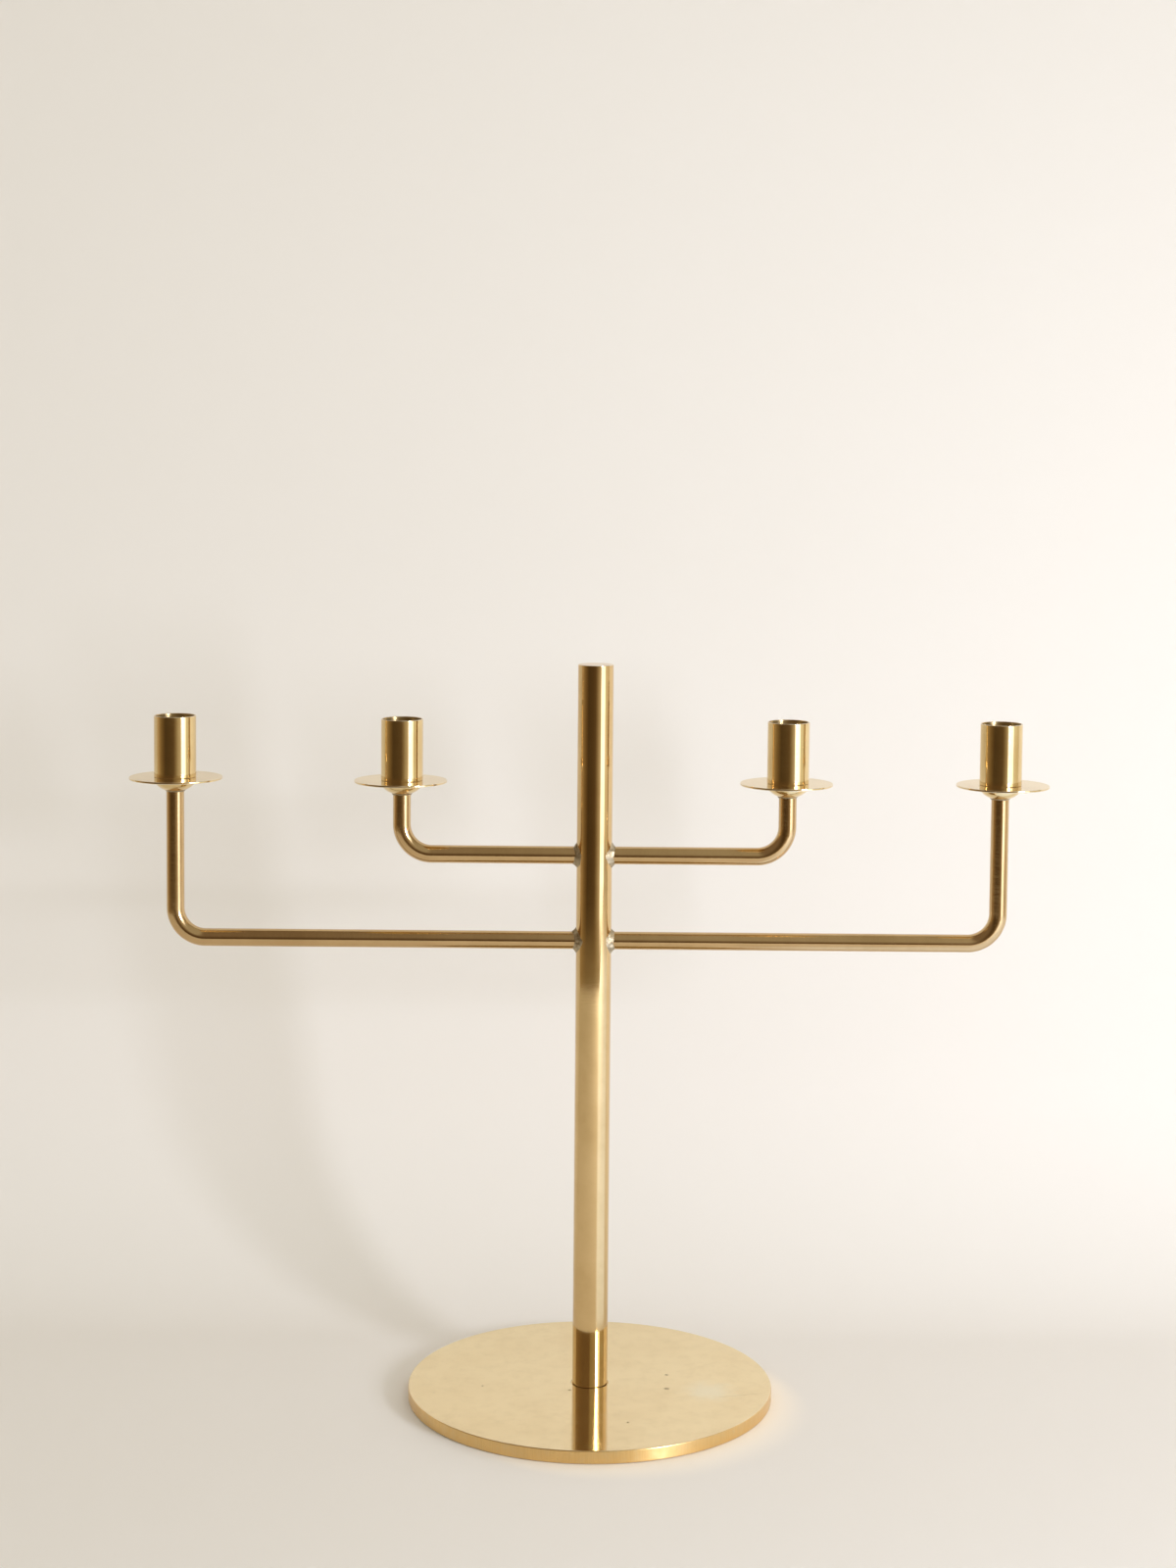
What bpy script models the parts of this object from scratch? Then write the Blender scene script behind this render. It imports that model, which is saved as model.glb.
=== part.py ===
"""Tabletop candelabra in brass: a round base, an upright column and four bent arms with candle cups.

Run with: blender --background --python part.py
Metres, +Z up, +X to the right and +Y to the back. The origin is the centre of the underside, where
the felt meets the table. Every piece that is separate on the real object is one object here.
"""

import math
from collections import namedtuple

import bmesh
import bpy

MM = 0.001
GAP = 0.3 * MM  # left between neighbouring pieces
SMALL_ROUNDING = 0.3 * MM

# Base: a turned disc with felt let into its underside
BASE_RADIUS = 103.5 * MM
BASE_TOP = 7.5 * MM
BASE_BOTTOM = GAP
RIM_ROUNDING = 0.5 * MM
FELT_RADIUS = 92.0 * MM
FELT_THICKNESS = 1.3 * MM
FELT_RECESS_RADIUS = FELT_RADIUS + 0.5 * MM
FELT_RECESS_TOP = FELT_THICKNESS + GAP
SOCKET_RADIUS = 10.7 * MM  # the shallow socket that the column stands in
SOCKET_FLOOR = BASE_TOP - 1.2 * MM

# Bolt that holds the column, countersunk from below
BOLT_RADIUS = 4.0 * MM
BOLT_HEAD_RADIUS = 8.0 * MM
BOLT_HEAD_FACE = FELT_RECESS_TOP + 0.1 * MM
BOLT_CONE_TOP = BOLT_HEAD_FACE + BOLT_HEAD_RADIUS - BOLT_RADIUS
BOLT_TIP = 23.0 * MM
HEX_SOCKET_RADIUS = 2.9 * MM
HEX_SOCKET_DEPTH = 2.6 * MM
CONE_CLEARANCE = 1.5 * GAP  # between two 45 degree cones, measured along the radius

# Column: a solid round bar
COLUMN_RADIUS = 10.0 * MM
COLUMN_BOTTOM = SOCKET_FLOOR + GAP
COLUMN_TOP = 419.5 * MM
COLUMN_BORE_TOP = BOLT_TIP + 1.5 * MM

# Arms: round rod with a spigot in the column, bent upright at the far end
ARM_RADIUS = 5.0 * MM
BEND_RADIUS = 17.0 * MM
BEND_STEPS = 7
SPIGOT_RADIUS = 4.0 * MM
SPIGOT_START = 4.0 * MM
LOWER_ARM_HEIGHT = 263.0 * MM
UPPER_ARM_HEIGHT = 311.5 * MM
OUTER_LEFT_REACH = 236.0 * MM
OUTER_RIGHT_REACH = 228.0 * MM
INNER_REACH = 108.5 * MM

# Solder fillet between an arm and the column
FILLET_LEG = 2.6 * MM
FILLET_TOE = 0.2 * MM
FILLET_ARC_STEPS = 3
FILLET_ROUND_STEPS = 20

# Candle cup, with the heights of everything stacked below it
CUP_RADIUS = 11.8 * MM
CUP_BORE_RADIUS = 11.0 * MM
CUP_BOTTOM = 353.7 * MM
CUP_RIM = 388.0 * MM
CUP_FLOOR = CUP_BOTTOM + 2.5 * MM
PLATE_RADIUS = 26.1 * MM
PLATE_THICKNESS = 1.2 * MM
PLATE_TOP = CUP_BOTTOM - GAP
PLATE_BOTTOM = PLATE_TOP - PLATE_THICKNESS
PLATE_HOLE_RADIUS = 3.9 * MM  # wide enough for the plate to sit a little off centre
SEAT_RADIUS = 11.6 * MM
SEAT_TOP = PLATE_BOTTOM - GAP
SEAT_BOTTOM = SEAT_TOP - 5.9 * MM
SEAT_NECK_RADIUS = 5.1 * MM
SEAT_CURVE_STEPS = 5
ARM_TOP = SEAT_BOTTOM - GAP
SEAT_FILLET_RADIUS = 6.2 * MM
SEAT_FILLET_HEIGHT = 0.9 * MM

# Screw down the middle of each cup, countersunk in its floor
SCREW_RADIUS = 2.0 * MM
SCREW_HEAD_RADIUS = 3.9 * MM
SCREW_HEAD_TOP = CUP_FLOOR - 0.2 * MM
SCREW_CONE_BOTTOM = SCREW_HEAD_TOP - (SCREW_HEAD_RADIUS - SCREW_RADIUS)
SCREW_TIP = ARM_TOP - 9.7 * MM
SCREW_HOLE_RADIUS = SCREW_RADIUS + GAP
SLOT_WIDTH = 1.0 * MM
SLOT_DEPTH = 0.9 * MM

# Each light: which side it is on, its reach, its arm's height, how far its cup stands above the heights
# given here, and how far its drip plate sits to the right of the cup's axis
Light = namedtuple("Light", "name side reach height lift plate_shift")
LIGHTS = (
    Light("outer_left", -1, OUTER_LEFT_REACH, LOWER_ARM_HEIGHT, 0.8 * MM, 0.4 * MM),
    Light("inner_left", -1, INNER_REACH, UPPER_ARM_HEIGHT, 0.0, -0.7 * MM),
    Light("inner_right", 1, INNER_REACH, UPPER_ARM_HEIGHT, 0.0, -0.8 * MM),
    Light("outer_right", 1, OUTER_RIGHT_REACH, LOWER_ARM_HEIGHT, 0.0, 1.3 * MM),
)


def clear_scene():
    for item in list(bpy.data.objects):
        bpy.data.objects.remove(item, do_unlink=True)


def new_collection(name):
    group = bpy.data.collections.new(name)
    bpy.context.scene.collection.children.link(group)
    return group


def new_material(name, colour, roughness, metallic):
    material = bpy.data.materials.new(name)
    material.use_nodes = True
    shader = material.node_tree.nodes["Principled BSDF"]
    shader.inputs["Base Color"].default_value = (*colour, 1.0)
    shader.inputs["Roughness"].default_value = roughness
    shader.inputs["Metallic"].default_value = metallic
    material.diffuse_color = (*colour, 1.0)
    return material


def add_part(name, mesh, material):
    """A visible piece of the candelabra."""
    part = bpy.data.objects.new(name, mesh)
    mesh.materials.append(material)
    PARTS.objects.link(part)
    return part


def add_cutter(name, mesh):
    """A shape that only serves a Boolean modifier."""
    cutter = bpy.data.objects.new(name, mesh)
    cutter.hide_render = True
    cutter.display_type = "WIRE"
    CUTTERS.objects.link(cutter)
    return cutter


def place(item, location=(0.0, 0.0, 0.0), turn=0.0, parent=None):
    item.location = location
    item.rotation_euler[2] = turn
    item.parent = parent


def boolean(item, other, operation):
    modifier = item.modifiers.new(f"{operation.lower()}_{other.name}", "BOOLEAN")
    modifier.operation = operation
    modifier.object = other
    modifier.solver = "EXACT"


def corner_arc(before, corner, after, rounding):
    """Points of an arc that rounds off one corner of an outline; a small one is a single facet."""
    steps = 2 if rounding > SMALL_ROUNDING else 1
    to_before = [before[i] - corner[i] for i in (0, 1)]
    to_after = [after[i] - corner[i] for i in (0, 1)]
    start = math.atan2(to_before[1], to_before[0])
    end = math.atan2(to_after[1], to_after[0])
    spread = (end - start + math.pi) % (2 * math.pi) - math.pi
    middle = start + spread / 2
    reach = rounding / math.sin(abs(spread) / 2)
    centre = (corner[0] + reach * math.cos(middle), corner[1] + reach * math.sin(middle))
    sweep = math.copysign(math.pi - abs(spread), spread)
    points = []
    for step in range(steps + 1):
        angle = middle + math.pi + sweep * (0.5 - step / steps)
        points.append((centre[0] + rounding * math.cos(angle), centre[1] + rounding * math.sin(angle)))
    return points


def rounded_outline(corners):
    """An outline from corners of (radius, height) or (radius, height, rounding)."""
    points = []
    for index, corner in enumerate(corners):
        if len(corner) == 2:
            points.append(corner)
            continue
        before = corners[index - 1]
        after = corners[(index + 1) % len(corners)]
        points.extend(corner_arc(before, corner, after, corner[2]))
    return points


def turned_mesh_object(make, name, corners, steps, *details):
    """A turned piece: an outline in the XZ plane, spun about Z. It runs down its outer side."""
    outline = rounded_outline(corners)
    edges = [(i, i + 1) for i in range(len(outline) - 1)]
    if outline[0][0] > 0.0:
        edges.append((len(outline) - 1, 0))
    mesh = bpy.data.meshes.new(name)
    mesh.from_pydata([(radius, 0.0, height) for radius, height in outline], edges, [])
    item = make(name, mesh, *details)
    screw = item.modifiers.new("turn", "SCREW")
    screw.steps = steps
    screw.render_steps = steps
    screw.use_merge_vertices = True
    screw.merge_threshold = 0.00001
    screw.use_smooth_shade = True
    return item


def turned_part(name, corners, steps, material):
    return turned_mesh_object(add_part, name, corners, steps, material)


def cylinder_cutter(name, radius, low, high, sides):
    """An upright cylinder about Z, to be cut away or joined on."""
    corners = ((0.0, high), (radius, high), (radius, low), (0.0, low))
    return turned_mesh_object(add_cutter, name, corners, sides)


def lying_cylinder_cutter(name, radius, near, far, sides):
    """A cylinder that lies along +X from near to far."""
    cutter = cylinder_cutter(name, radius, near, far, sides)
    cutter.rotation_euler[1] = math.pi / 2
    return cutter


def box_cutter(name, size, centre):
    outline = bmesh.new()
    bmesh.ops.create_cube(outline, size=1.0)
    bmesh.ops.scale(outline, vec=size, verts=outline.verts)
    bmesh.ops.translate(outline, vec=centre, verts=outline.verts)
    mesh = bpy.data.meshes.new(name)
    outline.to_mesh(mesh)
    outline.free()
    return add_cutter(name, mesh)


def make_base(brass, felt_cloth, steel):
    cone_foot = BOLT_HEAD_RADIUS + CONE_CLEARANCE + BOLT_HEAD_FACE - FELT_RECESS_TOP
    hole_radius = BOLT_RADIUS + GAP
    cone_top = FELT_RECESS_TOP + cone_foot - hole_radius
    base_corners = (
        (SOCKET_RADIUS, BASE_TOP, 0.25 * MM),
        (BASE_RADIUS, BASE_TOP, RIM_ROUNDING),
        (BASE_RADIUS, BASE_BOTTOM, RIM_ROUNDING),
        (FELT_RECESS_RADIUS, BASE_BOTTOM),
        (FELT_RECESS_RADIUS, FELT_RECESS_TOP),
        (cone_foot, FELT_RECESS_TOP),
        (hole_radius, cone_top),
        (hole_radius, SOCKET_FLOOR),
        (SOCKET_RADIUS, SOCKET_FLOOR),
    )
    turned_part("base_plate", base_corners, 72, brass)

    felt_corners = (
        (0.0, FELT_THICKNESS),
        (FELT_RADIUS, FELT_THICKNESS),
        (FELT_RADIUS, 0.0),
        (0.0, 0.0),
    )
    turned_part("base_felt", felt_corners, 48, felt_cloth)

    bolt_corners = (
        (0.0, BOLT_TIP),
        (BOLT_RADIUS, BOLT_TIP, 0.6 * MM),
        (BOLT_RADIUS, BOLT_CONE_TOP),
        (BOLT_HEAD_RADIUS, BOLT_HEAD_FACE),
        (0.0, BOLT_HEAD_FACE),
    )
    bolt = turned_part("column_bolt", bolt_corners, 24, steel)
    socket_floor = BOLT_HEAD_FACE + HEX_SOCKET_DEPTH
    hex_socket = cylinder_cutter("cut_hex_socket", HEX_SOCKET_RADIUS, 0.0, socket_floor, 6)
    boolean(bolt, hex_socket, "DIFFERENCE")


def make_column(brass):
    bore_radius = BOLT_RADIUS + GAP
    corners = (
        (0.0, COLUMN_TOP),
        (COLUMN_RADIUS, COLUMN_TOP, 0.4 * MM),
        (COLUMN_RADIUS, COLUMN_BOTTOM, 0.2 * MM),
        (bore_radius, COLUMN_BOTTOM),
        (bore_radius, COLUMN_BORE_TOP),
        (0.0, COLUMN_BORE_TOP),
    )
    column = turned_part("column", corners, 40, brass)
    hole_end = COLUMN_RADIUS + 2.0 * MM
    for light in LIGHTS:
        hole = lying_cylinder_cutter(
            f"cut_{light.name}_arm_hole", SPIGOT_RADIUS + GAP, SPIGOT_START - GAP, hole_end, 16
        )
        hole.parent = arm_frame(f"{light.name}_hole_frame", light)
        boolean(column, hole, "DIFFERENCE")


def arm_frame(name, light):
    """An empty on the column's axis at an arm's height, whose +X points along the arm."""
    frame = bpy.data.objects.new(name, None)
    frame.empty_display_size = 0.02
    CUTTERS.objects.link(frame)
    place(frame, (0.0, 0.0, light.height), math.pi if light.side < 0 else 0.0)
    return frame


def arm_route(reach, rise):
    """Centre line of an arm: out from the column, round the bend and up to its top."""
    route = [(COLUMN_RADIUS - 2.0 * MM, 0.0, 0.0)]
    centre_x = reach - BEND_RADIUS
    for step in range(BEND_STEPS + 1):
        angle = math.pi / 2 * step / BEND_STEPS
        x = centre_x + BEND_RADIUS * math.sin(angle)
        z = BEND_RADIUS - BEND_RADIUS * math.cos(angle)
        route.append((x, 0.0, z))
    route.append((reach, 0.0, rise))
    return route


def rod_mesh(name, route, radius):
    """A round rod with closed ends along a route, as a mesh."""
    curve = bpy.data.curves.new(name, "CURVE")
    curve.dimensions = "3D"
    curve.bevel_depth = radius
    curve.bevel_resolution = 6
    curve.use_fill_caps = True
    spline = curve.splines.new("POLY")
    spline.points.add(len(route) - 1)
    for point, place_on_route in zip(spline.points, route):
        point.co = (*place_on_route, 1.0)
    guide = bpy.data.objects.new(name, curve)
    CUTTERS.objects.link(guide)
    bpy.context.view_layer.update()
    shape = guide.evaluated_get(bpy.context.evaluated_depsgraph_get())
    mesh = bpy.data.meshes.new_from_object(shape)
    bpy.data.objects.remove(guide, do_unlink=True)
    welded = bmesh.new()
    welded.from_mesh(mesh)
    bmesh.ops.remove_doubles(welded, verts=welded.verts, dist=0.000001)
    bmesh.ops.recalc_face_normals(welded, faces=welded.faces)
    welded.to_mesh(mesh)
    welded.free()
    mesh.materials.clear()
    mesh.shade_smooth()
    mesh.set_sharp_from_angle(angle=math.radians(40))
    return mesh


def make_arm(light, brass, column_clearance):
    frame = arm_frame(f"{light.name}_arm_frame", light)
    rise = ARM_TOP + light.lift - light.height
    rod = rod_mesh(light.name, arm_route(light.reach, rise), ARM_RADIUS)
    arm = add_part(f"{light.name}_arm", rod, brass)
    arm.parent = frame

    spigot_end = COLUMN_RADIUS + 5.0 * MM
    spigot = lying_cylinder_cutter(
        f"join_{light.name}_spigot", SPIGOT_RADIUS, SPIGOT_START, spigot_end, 16
    )
    spigot.parent = frame
    hole_depth = ARM_TOP - SCREW_TIP + 0.5 * MM
    hole = cylinder_cutter(
        f"cut_{light.name}_screw_hole", SCREW_HOLE_RADIUS, rise - hole_depth, rise + 1.0 * MM, 12
    )
    place(hole, (light.reach, 0.0, 0.0), parent=frame)
    boolean(arm, column_clearance, "DIFFERENCE")
    boolean(arm, spigot, "UNION")
    boolean(arm, hole, "DIFFERENCE")


def fillet_section(angle):
    """The solder's cross-section at one angle round the arm, as (x, distance from the arm's axis)."""

    def column_face(distance):
        across = distance * math.sin(angle)
        return math.sqrt((COLUMN_RADIUS + GAP) ** 2 - across**2)

    inner = ARM_RADIUS + GAP
    outer = inner + FILLET_LEG + FILLET_TOE
    section = [
        (column_face(outer), outer),
        (column_face(inner), inner),
        (column_face(inner) + FILLET_LEG + FILLET_TOE, inner),
    ]
    for step in range(FILLET_ARC_STEPS + 1):
        turn = math.pi / 2 * step / FILLET_ARC_STEPS
        distance = inner + FILLET_TOE + FILLET_LEG * (1.0 - math.cos(turn))
        along = FILLET_TOE + FILLET_LEG * (1.0 - math.sin(turn))
        section.append((column_face(distance) + along, distance))
    return section


def make_arm_solder(light, solder):
    """The fillet of solder round an arm, saddle-shaped where it meets the round column."""
    shape = bmesh.new()
    rings = []
    for step in range(FILLET_ROUND_STEPS):
        angle = 2 * math.pi * step / FILLET_ROUND_STEPS
        ring = []
        for x, distance in fillet_section(angle):
            corner = (x, distance * math.sin(angle), distance * math.cos(angle))
            ring.append(shape.verts.new(corner))
        rings.append(ring)
    for ring, next_ring in zip(rings, rings[1:] + rings[:1]):
        for i in range(len(ring)):
            j = (i + 1) % len(ring)
            shape.faces.new((ring[i], ring[j], next_ring[j], next_ring[i]))
    bmesh.ops.recalc_face_normals(shape, faces=shape.faces)
    mesh = bpy.data.meshes.new(f"{light.name}_arm_solder")
    shape.to_mesh(mesh)
    shape.free()
    mesh.shade_smooth()
    mesh.set_sharp_from_angle(angle=math.radians(40))
    part = add_part(f"{light.name}_arm_solder", mesh, solder)
    part.parent = arm_frame(f"{light.name}_solder_frame", light)


def make_cup(name, frame, brass):
    cone_top = SCREW_HEAD_RADIUS + (CUP_FLOOR - SCREW_HEAD_TOP) + CONE_CLEARANCE
    cone_bottom = CUP_FLOOR - (cone_top - SCREW_HOLE_RADIUS)
    corners = (
        (CUP_RADIUS, CUP_RIM, 0.25 * MM),
        (CUP_RADIUS, CUP_BOTTOM, 0.3 * MM),
        (SCREW_HOLE_RADIUS, CUP_BOTTOM),
        (SCREW_HOLE_RADIUS, cone_bottom),
        (cone_top, CUP_FLOOR),
        (CUP_BORE_RADIUS, CUP_FLOOR),
        (CUP_BORE_RADIUS, CUP_RIM, 0.25 * MM),
    )
    cup = turned_part(f"{name}_candle_cup", corners, 36, brass)
    cup.parent = frame


def make_drip_plate(name, frame, shift, brass):
    edge = 0.45 * PLATE_THICKNESS
    corners = (
        (PLATE_RADIUS, PLATE_TOP, edge),
        (PLATE_RADIUS, PLATE_BOTTOM, edge),
        (PLATE_HOLE_RADIUS, PLATE_BOTTOM),
        (PLATE_HOLE_RADIUS, PLATE_TOP),
    )
    plate = turned_part(f"{name}_drip_plate", corners, 44, brass)
    place(plate, (shift, 0.0, 0.0), parent=frame)


def make_cup_seat(name, frame, brass):
    """The bowl-shaped seat under a drip plate; its underside is part of an ellipse."""
    last = math.acos(SEAT_NECK_RADIUS / SEAT_RADIUS)
    depth = (SEAT_TOP - SEAT_BOTTOM) / math.sin(last)
    corners = []
    for step in range(SEAT_CURVE_STEPS + 1):
        angle = last * step / SEAT_CURVE_STEPS
        corners.append((SEAT_RADIUS * math.cos(angle), SEAT_TOP - depth * math.sin(angle)))
    corners.append((SCREW_HOLE_RADIUS, SEAT_BOTTOM))
    corners.append((SCREW_HOLE_RADIUS, SEAT_TOP))
    seat = turned_part(f"{name}_cup_seat", corners, 28, brass)
    seat.parent = frame


def make_seat_solder(name, frame, solder):
    inner = ARM_RADIUS + GAP
    low = ARM_TOP - SEAT_FILLET_HEIGHT
    corners = (
        (SEAT_FILLET_RADIUS, ARM_TOP),
        (inner + FILLET_TOE, low),
        (inner, low),
        (inner, ARM_TOP),
    )
    ring = turned_part(f"{name}_seat_solder", corners, 20, solder)
    ring.parent = frame


def make_cup_screw(name, frame, brass):
    corners = (
        (0.0, SCREW_HEAD_TOP),
        (SCREW_HEAD_RADIUS, SCREW_HEAD_TOP),
        (SCREW_RADIUS, SCREW_CONE_BOTTOM),
        (SCREW_RADIUS, SCREW_TIP),
        (0.0, SCREW_TIP),
    )
    screw = turned_part(f"{name}_cup_screw", corners, 12, brass)
    screw.parent = frame
    slot_size = (3 * SCREW_HEAD_RADIUS, SLOT_WIDTH, 2 * SLOT_DEPTH)
    slot = box_cutter(f"cut_{name}_screw_slot", slot_size, (0.0, 0.0, SCREW_HEAD_TOP))
    slot.parent = frame
    boolean(screw, slot, "DIFFERENCE")


def make_light(light, brass, plate_brass, solder, column_clearance):
    """One arm with everything that stands on it."""
    name = light.name
    make_arm(light, brass, column_clearance)
    make_arm_solder(light, solder)
    frame = bpy.data.objects.new(f"{name}_cup_axis", None)
    frame.empty_display_size = 0.02
    CUTTERS.objects.link(frame)
    place(frame, (light.side * light.reach, 0.0, light.lift))
    make_seat_solder(name, frame, solder)
    make_cup_seat(name, frame, brass)
    make_drip_plate(name, frame, light.plate_shift, plate_brass)
    make_cup(name, frame, brass)
    make_cup_screw(name, frame, brass)


clear_scene()
PARTS = new_collection("tabletop_candelabra")
CUTTERS = new_collection("cutters")

rod_brass = new_material("brass_rod", (0.66, 0.46, 0.19), 0.18, 1.0)
sheet_brass = new_material("brass_sheet", (0.78, 0.60, 0.30), 0.22, 1.0)
base_brass = new_material("brass_base", (0.74, 0.55, 0.25), 0.25, 1.0)
tin_solder = new_material("solder", (0.62, 0.60, 0.55), 0.30, 1.0)
green_felt = new_material("felt", (0.03, 0.07, 0.045), 0.95, 0.0)
bolt_steel = new_material("steel", (0.45, 0.45, 0.46), 0.35, 1.0)

make_base(base_brass, green_felt, bolt_steel)
make_column(rod_brass)
clearance = cylinder_cutter(
    "cut_column_clearance", COLUMN_RADIUS + GAP, LOWER_ARM_HEIGHT - 0.02, UPPER_ARM_HEIGHT + 0.02, 40
)
for each_light in LIGHTS:
    make_light(each_light, rod_brass, sheet_brass, tin_solder, clearance)
bpy.context.view_layer.update()
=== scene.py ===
"""Looks of the tabletop candelabra: fine meshes, brass, solder and felt, a paper sweep and studio light.

Metres, +Z up, the camera looks along +Y.
"""

import math

import bmesh
import bpy
from mathutils import Matrix, Vector, noise


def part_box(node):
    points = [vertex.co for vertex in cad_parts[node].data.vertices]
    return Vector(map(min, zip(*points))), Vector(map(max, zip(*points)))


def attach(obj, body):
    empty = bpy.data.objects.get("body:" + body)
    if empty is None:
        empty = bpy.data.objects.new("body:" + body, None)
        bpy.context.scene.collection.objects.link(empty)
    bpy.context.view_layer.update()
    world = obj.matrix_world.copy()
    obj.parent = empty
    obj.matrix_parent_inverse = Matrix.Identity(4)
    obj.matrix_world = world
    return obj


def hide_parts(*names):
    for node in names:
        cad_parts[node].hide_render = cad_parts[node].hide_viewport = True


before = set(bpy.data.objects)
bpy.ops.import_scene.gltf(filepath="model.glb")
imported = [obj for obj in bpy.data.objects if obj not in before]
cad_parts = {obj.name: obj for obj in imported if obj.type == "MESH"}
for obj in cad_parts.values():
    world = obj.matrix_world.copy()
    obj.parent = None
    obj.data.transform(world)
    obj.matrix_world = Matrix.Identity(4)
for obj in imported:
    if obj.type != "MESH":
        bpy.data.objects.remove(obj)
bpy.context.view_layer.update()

MM = 0.001
BODY = "root"
LIGHTS = ("outer_left", "inner_left", "inner_right", "outer_right")

# Sizes that a node's box doesn't give
SOCKET_RADIUS = 10.7 * MM
SOCKET_DEPTH = 1.2 * MM
SHANK_RADIUS = 4.0 * MM
FELT_RECESS_RADIUS = 92.5 * MM
FELT_RECESS_TOP = 1.6 * MM
CUP_WALL = 0.8 * MM
CUP_FLOOR = 2.5 * MM
SCREW_RADIUS = 2.0 * MM
SCREW_HOLE_RADIUS = 2.3 * MM
SCREW_HEAD_SINK = 0.2 * MM
PLATE_HOLE_RADIUS = 3.9 * MM
SEAT_NECK_RADIUS = 5.1 * MM
ARM_START = 6.0 * MM  # an arm's inner end, in its hole in the column
BEND_RADIUS = 17.0 * MM
ARC_STEPS = 6  # steps round each rounded corner
SUPPORT = 0.25 * MM  # from a rounded corner to the points beside it
SUPPORT_SHARE = 0.2  # the most of a side's straight part that this distance takes
FLOW_SHIFT = 3.1  # moves the cloudy textures along, so that no two lights share a pattern
SEED_STEP = 3.7  # from one light's noise to the next light's


def radius_and_heights(node):
    """Radius, bottom and top of a round upright node."""
    low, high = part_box(node)
    return (high.x - low.x) / 2, low.z, high.z


def axis_of(node):
    """X and Y of an upright node's axis."""
    low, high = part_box(node)
    return ((low.x + high.x) / 2, (low.y + high.y) / 2)


# ---------------------------------------------------------------- shapes


def corner_arc(before, corner, after, rounding):
    """Points of the arc that rounds off one corner of an outline.

    A point just before the arc and one just after it keep the long faces beside it flat in shading.
    """
    to_before = math.atan2(before[1] - corner[1], before[0] - corner[0])
    to_after = math.atan2(after[1] - corner[1], after[0] - corner[0])
    spread = (to_after - to_before + math.pi) % (2 * math.pi) - math.pi
    middle = to_before + spread / 2
    reach = rounding / math.sin(abs(spread) / 2)
    centre = (corner[0] + reach * math.cos(middle), corner[1] + reach * math.sin(middle))
    sweep = math.copysign(math.pi - abs(spread), spread)
    points = []
    for step in range(ARC_STEPS + 1):
        angle = middle + math.pi + sweep * (0.5 - step / ARC_STEPS)
        points.append((centre[0] + rounding * math.cos(angle), centre[1] + rounding * math.sin(angle)))
    tangent = rounding / math.tan(abs(spread) / 2)
    for side, place in ((before, 0), (after, len(points) + 1)):
        length = math.dist(side[:2], corner[:2])
        share = (tangent + min(SUPPORT, SUPPORT_SHARE * abs(length - 2 * tangent))) / length
        radius = corner[0] + share * (side[0] - corner[0])
        height = corner[1] + share * (side[1] - corner[1])
        points.insert(place, (radius, height))
    return points


def rounded_outline(corners):
    """An outline from corners of (radius, height) or (radius, height, rounding).

    Each of its points has a share as well: 1 on the rounded edges and 0 elsewhere.
    """
    points = []
    edges = []
    for index, corner in enumerate(corners):
        if len(corner) == 2:
            points.append(corner)
            edges.append(0.0)
            continue
        after = corners[(index + 1) % len(corners)]
        points.extend(corner_arc(corners[index - 1], corner, after, corner[2]))
        edges.extend([0.0, 0.0] + [1.0] * (ARC_STEPS - 1) + [0.0, 0.0])
    return points, edges


def finish_mesh(name, shape, flow, grain, edges=None, sharp=35.0):
    """A smooth-shaded mesh object from a bmesh, with the point attributes that the metal's nodes read.

    flow is a place for cloudy textures. grain is the direction across the fine polishing scratches.
    edge is 1 on the rounded edges, where the metal is rubbed bright.
    """
    bmesh.ops.recalc_face_normals(shape, faces=shape.faces)
    mesh = bpy.data.meshes.new(name)
    shape.to_mesh(mesh)
    shape.free()
    mesh.shade_smooth()
    mesh.set_sharp_from_angle(angle=math.radians(sharp))
    for label, values in (("flow", flow), ("grain", grain)):
        attribute = mesh.attributes.new(label, "FLOAT_VECTOR", "POINT")
        for vertex, value in zip(attribute.data, values):
            vertex.vector = value
    attribute = mesh.attributes.new("edge", "FLOAT", "POINT")
    attribute.data.foreach_set("value", edges or [0.0] * len(flow))
    piece = bpy.data.objects.new(name, mesh)
    bpy.context.scene.collection.objects.link(piece)
    return piece


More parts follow.
